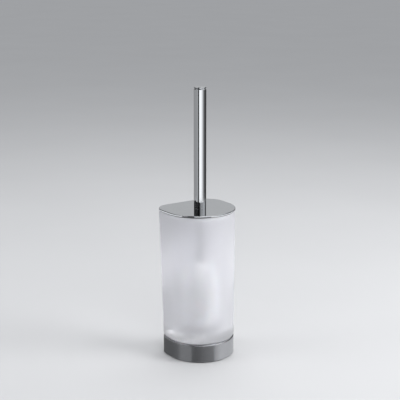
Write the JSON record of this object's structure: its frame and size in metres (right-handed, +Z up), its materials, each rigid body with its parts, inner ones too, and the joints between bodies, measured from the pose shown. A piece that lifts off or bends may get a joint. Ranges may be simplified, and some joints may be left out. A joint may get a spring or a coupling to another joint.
{
  "type": "toilet brush holder",
  "caption": "Free-standing toilet brush set: a D-shaped frosted glass tumbler in a metal base, with a flat lid that lifts off together with the hanging brush.",
  "frame": {"origin": "on the floor, under the handle's axis", "axes": "+Z up along the handle's axis, +Y towards the straight back of the D, +X to the right seen from the round front"},
  "size_m": [0.103, 0.093, 0.385],
  "materials": {
    "polished_chrome": "mirror-polished chrome plate",
    "satin_metal": "satin chrome, fine vertical sheen",
    "frosted_glass": "acid-etched, translucent white",
    "white_plastic": "moulded polypropylene, semi-matt",
    "clear_plastic": "translucent polypropylene",
    "bristle_white": "nylon filament",
    "black_rubber": "matt",
    "steel": "turned stainless steel",
    "brass": "turned",
    "cast_weight": "as cast"
  },
  "bodies": {
    "base": {"sole_pad": "black_rubber", "bottom_plate": "steel", "bottom_screws": "steel", "ballast_block": "cast_weight", "base_shell": "satin_metal", "seat_ring": "clear_plastic"},
    "glass": {"glass_tumbler": "frosted_glass"},
    "lid": {"lid_plate": "polished_chrome", "lid_gasket": "black_rubber", "lid_liner": "clear_plastic", "lid_bush": "white_plastic"},
    "brush": {"handle_tube": "polished_chrome", "handle_cap": "polished_chrome", "handle_insert": "brass", "stem_spindle": "steel", "thrust_washer": "white_plastic", "stem_tube": "steel", "head_stud": "steel", "head_washer": "black_rubber", "thread_insert": "brass", "brush_core": "white_plastic", "bristles_crown": "bristle_white", "bristles_side": "bristle_white", "bristles_tip": "bristle_white"}
  },
  "joints": [
    {"name": "glass_lift", "type": "slide", "parent": "base", "child": "glass", "axis": [0, 0, 1], "range_m": [0, 0.03]},
    {"name": "lid_lift", "type": "slide", "parent": "glass", "child": "lid", "axis": [0, 0, 1], "range_m": [0, 0.22]},
    {"name": "brush_turn", "type": "hinge", "parent": "lid", "child": "brush", "pos_m": [0, 0, 0.214], "axis": [0, 0, 1], "continuous": true}
  ]
}
